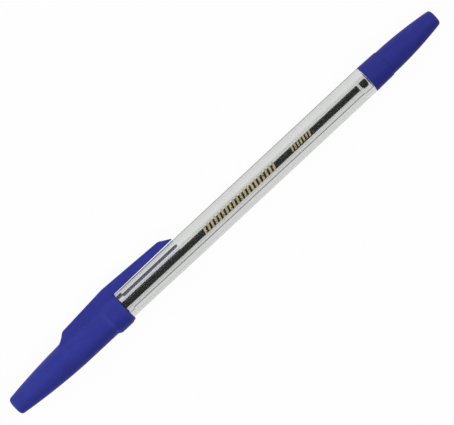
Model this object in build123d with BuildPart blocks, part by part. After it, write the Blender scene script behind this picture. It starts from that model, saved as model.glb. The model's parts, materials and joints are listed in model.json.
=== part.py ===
from build123d import *
from math import asin, atan2, cos, hypot, sin
import os

# A capped stick ballpoint pen, in millimetres.
# It lies along X with the cap towards -X and the tail towards +X. The origin is on the pen's axis,
# halfway along the clear barrel. The clip leans down on the +Y side, as when the pen lies on a table.

# Clearances
press_gap = 0.02        # radial, between pieces that are pressed together
seat_gap = 0.03         # end to end, between pieces that are pushed home
socket_room = 0.30      # empty depth past the end of a neck or spigot
slip_gap = 0.05         # radial, cap mouth on the barrel
stop_gap = 0.12         # end to end, cap step to nose collar
nose_gap = 0.12         # radial, inside of the cap to the nose cone
point_room = 6.12       # from the ball to the closed end inside the cap
overrun = 1.0           # how far a cutting shape runs past what it cuts

# Ball and metal point
ball_radius = 0.50
ball_gap = 0.015        # ball to its socket
ball_proud = 0.25       # ball centre to the rim that holds it in
rim_wall = 0.06
point_cone_length = 2.9
point_radius = 1.15
point_out_length = 3.1  # straight body that shows in front of the nose cone
point_seat_length = 3.3  # straight body inside it
shank_step = 0.43
shank_length = 4.0
channel_radius = 0.30

# Refill tube and ink
tube_bore_radius = 0.88
tube_wall = 0.57
tube_overhang = 5.4     # tube past the barrel's tail shoulder, inside the neck
ink_setback = 3.3       # end of the ink column, short of that shoulder
bubble_length = 0.85    # air between the column and the slug of ink behind it
ink_tail_length = 2.0

# Point holder
holder_wall = 0.75
holder_length = 7.0
spigot_length = 5.0

# Clear barrel
barrel_length = 88.0
barrel_taper_length = 24.0  # drafted front, under the cap and clip; the rest is straight
barrel_draft = 0.12     # radius gained along that taper
shoulder_height = 0.90  # barrel above its front neck
barrel_edge = 0.12
refill_room = 0.50      # radial, refill tube to the barrel's bore
bore_draft = 0.20
core_step = 0.25        # the bore is this much wider at either end
core_reach = 2.9        # how far the wide bore runs in past each shoulder
neck_wall = 0.60
front_neck_length = 3.8
tail_neck_length = 5.6
neck_chamfer = 0.25

# Nose cone
nose_collar_length = 4.0
nose_collar_drop = 0.08
nose_wall = 0.43
nose_bow = 0.35
nose_end_wall = 0.80
nose_end_round = 0.40
nose_tube_room = 0.30   # radial, round the refill tube inside the nose

# Tail plug
plug_length = 24.2
plug_collar_length = 6.2
plug_collar_drop = 0.15
plug_step = 0.16
plug_taper_drop = 1.48  # plug radius lost from the step to the end
plug_bow = 0.36
plug_end_round = 0.80
plug_edge = 0.10
plug_wall = 1.10
plug_floor = 1.60

# Cap
cap_length = 38.95
cap_overlap = 1.15      # cap mouth past the barrel's front shoulder
cap_wall = 0.72
cap_floor = 1.20
cap_taper_length = 16.5
cap_taper_bow = 0.175
cap_blend_length = 6.5
cap_blend_drop = 0.18
cap_end_drop = 1.69
cap_end_round = 0.90
band_length = 3.7
band_wall = 0.89
band_ramp_length = 1.1
lip_length = 1.25
lip_wall = 0.48
band_round = 0.25
lip_round = 0.15
mouth_chamfer = 0.20

# Clip and the fin that carries it
clip_reach = 20.95      # clip tip past the cap mouth
clip_gap = 0.15         # clip to the barrel at the mouth
clip_spread = 0.20      # how much further off it stands at the tip
clip_root_thickness = 3.10
clip_tip_thickness = 2.05
clip_bevel_length = 3.3
clip_bevel_round = 1.5
clip_point_height = 0.25
clip_root_width = 4.60
clip_tip_width = 3.80
clip_tip_round = 1.20
clip_edge_round = 0.40
clip_inner_round = 0.15
apex_setback = 1.45     # highest point, back from the mouth
apex_round = 12.0
fin_length = 14.95
fin_height = 1.80       # above the cap where the fin starts
fin_ramp_length = 3.5
fin_ramp_bow = 0.22
fin_corner_round = 1.2

# Radii from the inside out
tube_radius = tube_bore_radius + tube_wall
bore_front_radius = tube_radius + refill_room
bore_tail_radius = bore_front_radius + bore_draft
core_radius = bore_tail_radius + core_step
neck_radius = core_radius + neck_wall
barrel_front_radius = neck_radius + shoulder_height
barrel_radius = barrel_front_radius + barrel_draft
socket_radius = neck_radius + press_gap
nose_root_radius = socket_radius + nose_wall
point_hole_radius = point_radius + press_gap
nose_end_radius = point_hole_radius + nose_end_wall
shank_radius = point_radius - shank_step
holder_bore_radius = shank_radius + press_gap
holder_radius = holder_bore_radius + holder_wall
spigot_radius = tube_bore_radius - press_gap
cap_mouth_radius = barrel_front_radius + barrel_draft * cap_overlap / barrel_taper_length
cap_bore_radius = cap_mouth_radius + slip_gap
cap_inner_radius = nose_root_radius + nose_gap
cap_radius = cap_inner_radius + cap_wall
band_radius = cap_bore_radius + band_wall
lip_radius = cap_bore_radius + lip_wall
socket_ball_radius = ball_radius + ball_gap

# Places along X
front = -barrel_length / 2
tail = barrel_length / 2
plug_front = tail + seat_gap
plug_end = plug_front + plug_length
mouth = front + cap_overlap
cap_end = mouth - cap_length
ball_x = cap_end + cap_floor + point_room + ball_radius
rim = ball_x - ball_proud
point_front = rim + point_cone_length
nose_front = point_front + point_out_length
nose_back = front - seat_gap
point_back = nose_front + point_seat_length
holder_front = point_back + seat_gap
holder_back = holder_front + holder_length
tube_front = holder_back + seat_gap
tube_end = tail + tube_overhang
ink_front = holder_back + spigot_length + seat_gap
ink_end = tail - ink_setback
ink_tail_front = ink_end + bubble_length

# The clip's lean: its outer corner comes down to the level of the band
clip_inner_height = cap_mouth_radius + clip_gap
clip_tip_height = clip_inner_height + clip_spread
apex_height = clip_inner_height + clip_root_thickness
corner_out = apex_height - clip_edge_round
corner_side = clip_root_width / 2 - clip_edge_round
corner_distance = hypot(corner_out, corner_side)
clip_lean = asin((band_radius - clip_edge_round) / corner_distance) - atan2(corner_side, corner_out)
clip_side_plane = Plane((0, 0, 0), x_dir=(1, 0, 0), z_dir=(0, sin(clip_lean), cos(clip_lean)))
clip_face_plane = Plane((0, 0, 0), x_dir=(1, 0, 0), z_dir=(0, cos(clip_lean), -sin(clip_lean)))

os.makedirs("parts", exist_ok=True)

# Barrel: the tube, its two necks and its stepped bore, turned from one outline
with BuildPart() as barrel:
    with BuildSketch(Plane.XY) as barrel_outline:
        with BuildLine():
            Polyline(
                (front - front_neck_length, core_radius),
                (front - front_neck_length, neck_radius),
                (front, neck_radius),
                (front, barrel_front_radius),
                (front + barrel_taper_length, barrel_radius),
                (tail, barrel_radius),
                (tail, neck_radius),
                (tail + tail_neck_length, neck_radius),
                (tail + tail_neck_length, core_radius),
                (tail - core_reach, core_radius),
                (tail - core_reach, bore_tail_radius),
                (front + core_reach, bore_front_radius),
                (front + core_reach, core_radius),
                close=True,
            )
        make_face()
        ends = barrel_outline.vertices().group_by(Axis.X)
        chamfer([ends[0].sort_by(Axis.Y)[-1], ends[-1].sort_by(Axis.Y)[-1]], neck_chamfer)
        shoulders = barrel_outline.vertices().sort_by(Axis.Y)[-3:].sort_by(Axis.X)
        fillet([shoulders[0], shoulders[-1]], barrel_edge)
    revolve(axis=Axis.X)
barrel.part.label = "barrel"
export_step(barrel.part, "parts/barrel.step")

# Nose cone: collar, bowed taper, a socket for the barrel's neck and a stepped hole for the refill
with BuildPart() as nose_cone:
    with BuildSketch(Plane.XY) as nose_outline:
        collar_front = nose_back - nose_collar_length
        socket_floor = front - front_neck_length - socket_room
        with BuildLine():
            Polyline(
                (holder_front - seat_gap, holder_radius + press_gap),
                (holder_front - seat_gap, point_hole_radius),
                (nose_front, point_hole_radius),
                (nose_front, nose_end_radius),
            )
            SagittaArc((nose_front, nose_end_radius), (collar_front, nose_root_radius), nose_bow)
            Polyline(
                (collar_front, nose_root_radius),
                (collar_front, barrel_front_radius - nose_collar_drop),
                (nose_back, barrel_front_radius),
                (nose_back, socket_radius),
                (socket_floor, socket_radius),
                (socket_floor, tube_radius + nose_tube_room),
                (tube_front, tube_radius + nose_tube_room),
                (tube_front, holder_radius + press_gap),
                (holder_front - seat_gap, holder_radius + press_gap),
            )
        make_face()
        nose_tip = nose_outline.vertices().group_by(Axis.X)[0].sort_by(Axis.Y)[-1]
        fillet(nose_tip, nose_end_round)
    revolve(axis=Axis.X)
nose_cone.part.label = "nose_cone"
export_step(nose_cone.part, "parts/nose_cone.step")

# Tail plug: collar level with the barrel, a small step, a bowed taper and a blunt rounded end
with BuildPart() as tail_plug:
    with BuildSketch(Plane.XY) as plug_outline:
        collar_end = plug_front + plug_collar_length
        collar_end_radius = barrel_radius - plug_collar_drop
        taper_radius = collar_end_radius - plug_step
        plug_end_radius = taper_radius - plug_taper_drop
        plug_socket_floor = tail + tail_neck_length + socket_room
        with BuildLine():
            Polyline(
                (plug_end - plug_floor, 0),
                (plug_end, 0),
                (plug_end, plug_end_radius),
            )
            SagittaArc((plug_end, plug_end_radius), (collar_end, taper_radius), -plug_bow)
            Polyline(
                (collar_end, taper_radius),
                (collar_end, collar_end_radius),
                (plug_front, barrel_radius),
                (plug_front, socket_radius),
                (plug_socket_floor, socket_radius),
                (plug_socket_floor, taper_radius - plug_wall),
                (plug_end - plug_floor, plug_end_radius - plug_wall),
                (plug_end - plug_floor, 0),
            )
        make_face()
        blunt_corner = plug_outline.vertices().group_by(Axis.X)[-1].sort_by(Axis.Y)[-1]
        collar_corners = plug_outline.vertices().sort_by(Axis.Y)[-2:]
        fillet(blunt_corner, plug_end_round)
        fillet(collar_corners, plug_edge)
    revolve(axis=Axis.X)
tail_plug.part.label = "tail_plug"
export_step(tail_plug.part, "parts/tail_plug.step")

# Refill tube and the two lengths of ink in it
with BuildPart() as refill_tube:
    with BuildSketch(Plane.YZ.offset(tube_front)):
        Circle(tube_radius)
        Circle(tube_bore_radius, mode=Mode.SUBTRACT)
    extrude(amount=tube_end - tube_front)
refill_tube.part.label = "refill_tube"
export_step(refill_tube.part, "parts/refill_tube.step")

with BuildPart() as ink_column:
    with BuildSketch(Plane.YZ.offset(ink_front)):
        Circle(spigot_radius)
    extrude(amount=ink_end - ink_front)
ink_column.part.label = "ink_column"
export_step(ink_column.part, "parts/ink_column.step")

with BuildPart() as ink_tail:
    with BuildSketch(Plane.YZ.offset(ink_tail_front)):
        Circle(spigot_radius)
    extrude(amount=ink_tail_length)
ink_tail.part.label = "ink_tail"
export_step(ink_tail.part, "parts/ink_tail.step")

# Point holder: a sleeve on the metal point's shank, with a spigot that plugs the refill tube
with BuildPart() as point_holder:
    with BuildSketch(Plane.XY):
        shank_floor = point_back + shank_length + seat_gap
        with BuildLine():
            Polyline(
                (holder_front, holder_bore_radius),
                (holder_front, holder_radius),
                (holder_back, holder_radius),
                (holder_back, spigot_radius),
                (holder_back + spigot_length, spigot_radius),
                (holder_back + spigot_length, channel_radius),
                (shank_floor, channel_radius),
                (shank_floor, holder_bore_radius),
                close=True,
            )
        make_face()
    revolve(axis=Axis.X)
point_holder.part.label = "point_holder"
export_step(point_holder.part, "parts/point_holder.step")

# Metal point: cone, body and shank, with the ball's socket and the ink channel
with BuildPart() as writing_point:
    rim_radius = (socket_ball_radius**2 - ball_proud**2) ** 0.5
    seat_depth = (socket_ball_radius**2 - channel_radius**2) ** 0.5
    with BuildSketch(Plane.XY):
        with BuildLine():
            ThreePointArc(
                (rim, rim_radius),
                (ball_x, socket_ball_radius),
                (ball_x + seat_depth, channel_radius),
            )
            Polyline(
                (ball_x + seat_depth, channel_radius),
                (point_back + shank_length, channel_radius),
                (point_back + shank_length, shank_radius),
                (point_back, shank_radius),
                (point_back, point_radius),
                (point_front, point_radius),
                (rim, rim_radius + rim_wall),
                (rim, rim_radius),
            )
        make_face()
    revolve(axis=Axis.X)
writing_point.part.label = "writing_point"
export_step(writing_point.part, "parts/writing_point.step")

# Writing ball
with BuildPart(Plane((ball_x, 0, 0))) as ball:
    Sphere(ball_radius)
ball.part.label = "ball"
export_step(ball.part, "parts/ball.step")

# Cap: the fin and clip first, then the turned body, then the hollow
with BuildPart() as cap:
    apex = mouth - apex_setback
    fin_start = apex - fin_length
    clip_tip = mouth + clip_reach
    bevel_start = clip_tip - clip_bevel_length
    band_end = mouth - lip_length
    band_start = band_end - band_length
    ramp_start = band_start - band_ramp_length
    with BuildSketch(clip_side_plane) as fin_profile:
        ramp_foot = (fin_start - fin_ramp_length, cap_radius - cap_wall / 2)
        fin_corner = (fin_start, cap_radius + fin_height)
        bevel_corner = (bevel_start, clip_tip_height + clip_tip_thickness)
        with BuildLine():
            SagittaArc(ramp_foot, fin_corner, -fin_ramp_bow)
            Polyline(
                fin_corner,
                (apex, apex_height),
                bevel_corner,
                (clip_tip, clip_tip_height + clip_point_height),
                (clip_tip, clip_tip_height),
                (mouth, clip_inner_height),
                (mouth, cap_inner_radius),
                (ramp_foot[0], cap_inner_radius),
                ramp_foot,
            )
        make_face()
        fillet(fin_profile.vertices().sort_by_distance(fin_corner)[0], fin_corner_round)
        fillet(fin_profile.vertices().sort_by_distance((apex, apex_height))[0], apex_round)
        fillet(fin_profile.vertices().sort_by_distance(bevel_corner)[0], clip_bevel_round)
    extrude(amount=clip_root_width / 2, both=True)
    with BuildSketch(clip_face_plane) as clip_outline:
        with BuildLine():
            Polyline(
                (ramp_foot[0] - overrun, -clip_root_width / 2),
                (apex, -clip_root_width / 2),
                (clip_tip, -clip_tip_width / 2),
                (clip_tip, clip_tip_width / 2),
                (apex, clip_root_width / 2),
                (ramp_foot[0] - overrun, clip_root_width / 2),
                close=True,
            )
        make_face()
        fillet(clip_outline.vertices().group_by(Axis.X)[-1], clip_tip_round)
    extrude(amount=apex_height + overrun, mode=Mode.INTERSECT)
    outer_edges = []
    inner_edges = []
    for edge in cap.edges():
        place = clip_side_plane.to_local_coords(edge.center())
        runs_along = edge.bounding_box().size.X > 0 and abs(place.Z) > clip_edge_round
        if runs_along and place.Y > clip_tip_height + clip_point_height:
            outer_edges.append(edge)
        elif runs_along and place.X > mouth:
            inner_edges.append(edge)
    fillet(outer_edges, clip_edge_round)
    fillet(inner_edges, clip_inner_round)
    with BuildSketch(Plane.XY) as cap_outline:
        taper_end = cap_end + cap_taper_length
        with BuildLine():
            Polyline(
                (ramp_start, cap_radius),
                (band_start, band_radius),
                (band_end, band_radius),
                (mouth, lip_radius),
                (mouth, 0),
                (cap_end, 0),
                (cap_end, cap_radius - cap_end_drop),
            )
            taper = SagittaArc(
                (cap_end, cap_radius - cap_end_drop),
                (taper_end, cap_radius - cap_blend_drop),
                cap_taper_bow,
            )
            TangentArc(
                (taper_end, cap_radius - cap_blend_drop),
                (taper_end + cap_blend_length, cap_radius),
                tangent=taper % 1,
            )
            Line((taper_end + cap_blend_length, cap_radius), (ramp_start, cap_radius))
        make_face()
        closed_corner = cap_outline.vertices().group_by(Axis.X)[0].sort_by(Axis.Y)[-1]
        lip_corner = cap_outline.vertices().group_by(Axis.X)[-1].sort_by(Axis.Y)[-1]
        band_corners = cap_outline.vertices().sort_by(Axis.Y)[-2:]
        fillet(closed_corner, cap_end_round)
        fillet(lip_corner, lip_round)
        fillet(band_corners, band_round)
    revolve(axis=Axis.X)
    with BuildSketch(Plane.XY):
        step_x = nose_back - nose_collar_length - stop_gap
        with BuildLine():
            Polyline(
                (taper_end + cap_blend_length, cap_inner_radius),
                (step_x, cap_inner_radius),
                (step_x, cap_bore_radius),
                (mouth - mouth_chamfer, cap_bore_radius),
                (mouth, cap_bore_radius + mouth_chamfer),
                (mouth, 0),
                (cap_end + cap_floor, 0),
                (cap_end + cap_floor, cap_inner_radius - cap_end_drop),
            )
            inner_taper = SagittaArc(
                (cap_end + cap_floor, cap_inner_radius - cap_end_drop),
                (taper_end, cap_inner_radius - cap_blend_drop),
                cap_taper_bow,
            )
            TangentArc(
                (taper_end, cap_inner_radius - cap_blend_drop),
                (taper_end + cap_blend_length, cap_inner_radius),
                tangent=inner_taper % 1,
            )
        make_face()
    revolve(axis=Axis.X, mode=Mode.SUBTRACT)
cap.part.label = "cap"
export_step(cap.part, "parts/cap.step")

print("overall length", round(plug_end - cap_end, 2))
print("barrel diameters", round(2 * barrel_front_radius, 2), round(2 * barrel_radius, 2))
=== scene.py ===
# %% [markdown]
# # A capped stick ballpoint, dressed in Blender
#
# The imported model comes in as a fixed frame: every piece already lies at its real place and size, in
# metres. This lesson models the pieces again as smooth meshes, gives each its finish, and lights them for
# a picture. The pen lies along X with its cap towards -X. Its clip leans down on the +Y side.

# %% Load the frame
import json
from math import atan2, ceil, cos, hypot, pi, radians, sin, tan

import bmesh
import bpy
from mathutils import Matrix, Vector


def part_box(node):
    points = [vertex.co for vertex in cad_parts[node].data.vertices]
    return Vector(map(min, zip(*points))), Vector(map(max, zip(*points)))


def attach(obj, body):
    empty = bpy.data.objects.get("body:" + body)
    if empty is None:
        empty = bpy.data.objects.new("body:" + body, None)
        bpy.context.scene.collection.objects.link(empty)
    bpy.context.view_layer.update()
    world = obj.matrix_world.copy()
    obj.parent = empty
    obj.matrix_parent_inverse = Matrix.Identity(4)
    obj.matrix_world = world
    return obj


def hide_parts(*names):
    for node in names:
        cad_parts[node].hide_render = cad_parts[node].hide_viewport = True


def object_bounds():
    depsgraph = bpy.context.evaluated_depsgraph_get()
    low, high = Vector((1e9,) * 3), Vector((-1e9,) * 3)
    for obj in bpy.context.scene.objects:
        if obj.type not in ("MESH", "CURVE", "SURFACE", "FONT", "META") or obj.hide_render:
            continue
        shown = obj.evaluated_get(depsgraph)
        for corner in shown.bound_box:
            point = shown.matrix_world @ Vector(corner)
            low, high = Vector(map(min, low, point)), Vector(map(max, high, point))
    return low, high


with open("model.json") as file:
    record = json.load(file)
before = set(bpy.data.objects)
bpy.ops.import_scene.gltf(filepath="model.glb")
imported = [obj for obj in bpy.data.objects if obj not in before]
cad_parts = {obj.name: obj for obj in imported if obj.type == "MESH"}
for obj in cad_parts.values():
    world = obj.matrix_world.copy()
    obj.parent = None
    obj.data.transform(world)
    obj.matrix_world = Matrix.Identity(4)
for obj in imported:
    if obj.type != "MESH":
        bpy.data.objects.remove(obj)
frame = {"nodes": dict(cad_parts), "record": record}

mm = 0.001
cad_low, cad_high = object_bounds()
bpy.ops.object.select_all(action="DESELECT")
print("nodes", sorted(frame["nodes"]))
print("overall size in mm", [round(side / mm, 2) for side in cad_high - cad_low])

# %% [markdown]
# ## The camera
#
# The photograph looks straight at the side of the clip, so the camera stands square to that side. Two
# pixels of the photograph, the middle of the closed cap end and the middle of the tail, give the roll,
# the scale and the framing. A long lens keeps the pen's two ends the same size, as they are in the
# picture.

# %% Place the camera
image_width, image_height = 454, 425
cap_end_pixel = Vector((15.4, 407.3))
tail_end_pixel = Vector((434.8, 16.5))
camera_distance = 0.6
sensor_width = 36.0

clip_mount = next(mount for mount in frame["record"]["mounts"] if mount["name"] == "clip")
clip_face_middle = Vector(clip_mount["pos_m"])
clip_lean = atan2(-clip_face_middle.z, clip_face_middle.y)
along_pen = Vector((1, 0, 0))
toward_camera = Vector((0, sin(clip_lean), cos(clip_lean)))
out_of_clip = toward_camera.cross(along_pen)

pixel_run = tail_end_pixel - cap_end_pixel
roll = atan2(-pixel_run.y, pixel_run.x)
pixel_size = (cad_high.x - cad_low.x) / pixel_run.length
camera_right = cos(roll) * along_pen - sin(roll) * out_of_clip
camera_up = sin(roll) * along_pen + cos(roll) * out_of_clip

pen_middle = Vector(((cad_low.x + cad_high.x) / 2, 0, 0))
middle_pixel = (cap_end_pixel + tail_end_pixel) / 2
shift_right = (image_width / 2 - middle_pixel.x) * pixel_size
shift_up = (middle_pixel.y - image_height / 2) * pixel_size
aim = pen_middle + shift_right * camera_right + shift_up * camera_up

lens_data = bpy.data.cameras.new("photo_camera")
lens_data.sensor_width = sensor_width
lens_data.lens = sensor_width * camera_distance / (image_width * pixel_size)
lens_data.clip_start = camera_distance / 100
lens_data.clip_end = camera_distance * 100
camera = bpy.data.objects.new("photo_camera", lens_data)
bpy.context.scene.collection.objects.link(camera)
turn_to_view = Matrix((camera_right, camera_up, toward_camera)).transposed()
camera.matrix_world = Matrix.Translation(aim + camera_distance * toward_camera) @ turn_to_view.to_4x4()
bpy.context.scene.camera = camera
bpy.context.scene.view_settings.view_transform = "Standard"
print("lens in mm", round(lens_data.lens, 1), "mm a pixel", round(pixel_size / mm, 4))

# %% [markdown]
# ## Turned outlines
#
# Nearly everything in a pen is round, so most pieces are drawn as half an outline and spun about the
# pen's axis, as on a lathe. An outline is a list of corners: a place along X, a radius, and how far that
# corner is rounded. A moulded piece has no knife edges, so each outer corner gets a small round, worked
# out here as a short arc.

# %% Round the corners of an outline
round_steps = 6


def rounded(corners, ring_spacing=1.5 * mm):
    """Turns (x, radius, round) corners into points, with arcs at corners and rings along straight runs."""
    spots = [Vector(corner[:2]) for corner in corners]
    points = [spots[0]]
    for before, here, after, corner in zip(spots, spots[1:], spots[2:], corners[1:]):
        if corner[2] == 0:
            points.append(here)
            continue
        back = (before - here).normalized()
        ahead = (after - here).normalized()
        half_angle = back.angle(ahead) / 2
        middle = here + (back + ahead).normalized() * corner[2] / sin(half_angle)
        first = here + back * corner[2] / tan(half_angle) - middle
        last = here + ahead * corner[2] / tan(half_angle) - middle
        for step in range(round_steps + 1):
            points.append(middle + corner[2] * first.slerp(last, step / round_steps).normalized())
    points.append(spots[-1])
    outline = [points[0]]
    for start, end in zip(points, points[1:]):
        rings = max(1, ceil((end - start).length / ring_spacing))
        outline += [start.lerp(end, ring / rings) for ring in range(1, rings + 1)]
    return outline


def bowed(outline, start, end, bow):
    """Swells the outline between two places on X, most of all halfway. Points on the axis stay there."""
    middle, half = (start + end) / 2, abs(end - start) / 2
    swollen = []
    for point in outline:
        share = max(0, 1 - ((point.x - middle) / half) ** 2)
        swollen.append(Vector((point.x, point.y + bow * share * (point.y > 0))))
    return swollen


print("each rounded corner has", round_steps + 1, "points")

# %% [markdown]
# ## The lathe
#
# A small plane is collapsed to one point, the point is extruded along the outline, and the outline is
# spun about X. The seam and the poles are merged and the normals are turned outwards. A screw modifier
# could do the spin as well, but the operator leaves a plain mesh at once, with nothing live to carry
# along.

# %% Spin an outline into a piece
around = 144
merge_distance = mm / 1000
smooth_angle = radians(32)


def turn(name, outline, segments=around):
    """Spins (x, radius) points about the pen's axis into a named, smooth-shaded mesh at the origin."""
    bpy.ops.object.select_all(action="DESELECT")
    start = outline[0]
    bpy.ops.mesh.primitive_plane_add(size=mm, location=(start.x, 0, start.y))
    piece = bpy.context.object
    piece.name = piece.data.name = name
    bpy.ops.object.mode_set(mode="EDIT")
    bpy.ops.mesh.merge(type="CENTER")
    for here, there in zip(outline, outline[1:]):
        step = (there.x - here.x, 0, there.y - here.y)
        bpy.ops.mesh.extrude_vertices_move(TRANSFORM_OT_translate={"value": step})
    bpy.ops.mesh.select_all(action="SELECT")
    bpy.ops.mesh.spin(steps=segments, angle=2 * pi, center=(0, 0, 0), axis=(1, 0, 0))
    bpy.ops.mesh.select_all(action="SELECT")
    bpy.ops.mesh.remove_doubles(threshold=merge_distance)
    bpy.ops.mesh.normals_make_consistent(inside=False)
    bpy.ops.object.mode_set(mode="OBJECT")
    bpy.ops.object.transform_apply(location=True, rotation=True, scale=True)
    bpy.ops.object.shade_smooth_by_angle(angle=smooth_angle)
    print(name, "has", len(piece.data.vertices), "vertices")
    return piece


# %% [markdown]
# ## The clear barrel
#
# The barrel is one moulding of clear polystyrene: a thick tube, a little slimmer under the cap, with a
# reduced neck at each end that the nose cone and the tail plug are pressed on. The core pin that made its
# bore had draft, and stepped out near the ends, where the bore is wider. Both walls matter here, because
# light bends at each of them.

# %% Turn the barrel
barrel_low, barrel_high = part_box("barrel")
barrel_radius = barrel_high.z
front_slimming = 0.12 * mm
front_neck_length = 3.8 * mm
tail_neck_length = 5.6 * mm
barrel_taper_length = 24 * mm
barrel_front_radius = barrel_radius - front_slimming
front = barrel_low.x + front_neck_length
tail = barrel_high.x - tail_neck_length
barrel_taper_end = front + barrel_taper_length
neck_radius = 3.0 * mm
neck_chamfer = 0.25 * mm
core_radius = 2.4 * mm
core_reach = 2.9 * mm
bore_front_radius = 1.95 * mm
bore_tail_radius = 2.15 * mm
shoulder_round = 0.12 * mm

barrel_corners = [
    (barrel_low.x, core_radius, 0),
    (barrel_low.x, neck_radius - neck_chamfer, 0),
    (barrel_low.x + neck_chamfer, neck_radius, 0),
    (front, neck_radius, 0),
    (front, barrel_front_radius, shoulder_round),
    (barrel_taper_end, barrel_radius, 0),
    (tail, barrel_radius, shoulder_round),
    (tail, neck_radius, 0),
    (barrel_high.x - neck_chamfer, neck_radius, 0),
    (barrel_high.x, neck_radius - neck_chamfer, 0),
    (barrel_high.x, core_radius, 0),
    (tail - core_reach, core_radius, 0),
    (tail - core_reach, bore_tail_radius, 0),
    (front + core_reach, bore_front_radius, 0),
    (front + core_reach, core_radius, 0),
    (barrel_low.x, core_radius, 0),
]
clear_barrel = turn("clear_barrel", rounded(barrel_corners))

# %% [markdown]
# ## The refill and its ink
#
# A narrow extruded tube holds the ink. The ink ends in a hollow meniscus, and a stray drop sits behind it
# near the tail. The ink column stays a hair clear of the wall: seen through the clear barrel it then
# shows at its true width, as in the photograph. The drop has sagged against one side of the tube. Where
# it wets the wall, the plastic magnifies it, so on that side it reaches past the ink.

# %% Turn the refill tube, the ink and the drop
tube_low, tube_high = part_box("refill_tube")
tube_radius = tube_high.z
tube_bore = 0.88 * mm
tube_end_round = 0.12 * mm
refill = turn("refill_sleeve", rounded([
    (tube_low.x, tube_bore, 0),
    (tube_low.x, tube_radius, tube_end_round),
    (tube_high.x, tube_radius, tube_end_round),
    (tube_high.x, tube_bore, 0),
    (tube_low.x, tube_bore, 0),
]))

ink_low, ink_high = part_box("ink_column")
meniscus = 0.3 * mm
meniscus_edge_depth = meniscus * 0.8
meniscus_edge_radius = ink_high.z * 0.6
ink = turn("ink_thread", rounded([
    (ink_low.x, 0, 0),
    (ink_low.x, ink_high.z, 0),
    (ink_high.x, ink_high.z, 0),
    (ink_high.x - meniscus_edge_depth, meniscus_edge_radius, 0),
    (ink_high.x - meniscus, 0, 0),
]))

drop_low, drop_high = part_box("ink_tail")
drop_round = 0.25 * mm
drop_gap = 0.004 * mm
drop_sag = 0.010 * mm
drop_radius = tube_bore - drop_gap
drop = turn("ink_drop", rounded([
    (drop_low.x, 0, 0),
    (drop_low.x, drop_radius, drop_round),
    (drop_high.x, drop_radius, drop_round),
    (drop_high.x, 0, 0),
]))
for vertex in drop.data.vertices:
    vertex.co -= drop_sag * out_of_clip

# %% [markdown]
# ## The tail plug
#
# The plug closes the barrel behind. Its collar continues the barrel's surface, then comes a small step
# and a bowed taper to a blunt, rounded end. A shallow dimple in that end keeps the stub of the mould's
# gate below the surface. Inside the plug is hollow, with a socket for the barrel's neck.

# %% Turn the tail plug
plug_low, plug_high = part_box("tail_plug")
plug_radius = plug_high.z
collar_end = plug_low.x + 6.2 * mm
collar_end_radius = plug_radius - 0.15 * mm
plug_taper_radius = collar_end_radius - 0.16 * mm
plug_end_radius = plug_taper_radius - 1.48 * mm
plug_bow = 0.36 * mm
plug_end_round = 0.8 * mm
plug_edge = 0.1 * mm
plug_wall = 1.1 * mm
plug_floor = plug_high.x - 1.6 * mm
gate_radius = 0.55 * mm
gate_depth = 0.12 * mm
press_gap = 0.02 * mm
neck_room = 0.3 * mm
socket_radius = neck_radius + press_gap
socket_floor = barrel_high.x + neck_room

plug_outside = rounded([
    (plug_high.x - gate_depth, 0, 0),
    (plug_high.x - gate_depth, gate_radius, 0),
    (plug_high.x, gate_radius + gate_depth, 0),
    (plug_high.x, plug_end_radius, plug_end_round),
    (collar_end, plug_taper_radius, 0),
    (collar_end, collar_end_radius, plug_edge),
    (plug_low.x, plug_radius, plug_edge),
    (plug_low.x, socket_radius, 0),
])
plug_inside = rounded([
    (plug_low.x, socket_radius, 0),
    (socket_floor, socket_radius, 0),
    (socket_floor, plug_taper_radius - plug_wall, 0),
    (plug_floor, plug_end_radius - plug_wall, 0),
    (plug_floor, 0, 0),
])
plug = turn("tail_stopper", bowed(plug_outside, collar_end, plug_high.x, plug_bow) + plug_inside[1:])

# %% [markdown]
# ## The nose cone
#
# The nose hides under the cap. Its collar is what the cap's mouth grips, and its taper guides the cap on.

# %% Turn the nose cone
nose_low, nose_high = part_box("nose_cone")
nose_collar_front = nose_high.x - 4.0 * mm
nose_root_radius = socket_radius + 0.43 * mm
nose_end_radius = 1.97 * mm
nose_hole_radius = 1.17 * mm
holder_low, holder_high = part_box("point_holder")
holder_seat_radius = holder_high.z + press_gap
tube_room_radius = tube_radius + 0.3 * mm
nose_socket_floor = barrel_low.x - neck_room
nose_seat = holder_low.x - 0.03 * mm
nose_bow = 0.35 * mm
nose_end_round = 0.4 * mm
collar_edge = 0.06 * mm
nose_collar_draft = 0.08 * mm

nose_outside = rounded([
    (nose_low.x, nose_hole_radius, 0),
    (nose_low.x, nose_end_radius, nose_end_round),
    (nose_collar_front, nose_root_radius, 0),
    (nose_collar_front, nose_high.z - nose_collar_draft, collar_edge),
    (nose_high.x, nose_high.z, collar_edge),
    (nose_high.x, socket_radius, 0),
])
nose_inside = rounded([
    (nose_high.x, socket_radius, 0),
    (nose_socket_floor, socket_radius, 0),
    (nose_socket_floor, tube_room_radius, 0),
    (tube_low.x, tube_room_radius, 0),
    (tube_low.x, holder_seat_radius, 0),
    (nose_seat, holder_seat_radius, 0),
    (nose_seat, nose_hole_radius, 0),
    (nose_low.x, nose_hole_radius, 0),
])
nose = turn("nose_taper", bowed(nose_outside, nose_low.x, nose_collar_front, nose_bow) + nose_inside[1:])

# %% [markdown]
# ## The metal point and its ball
#
# The point is turned from brass wire: a cone, a straight body and a thinner shank, with a channel for the
# ink. The rim is rolled over the ball so that it can turn but not fall out, and the seat behind the ball
# is round.

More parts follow.
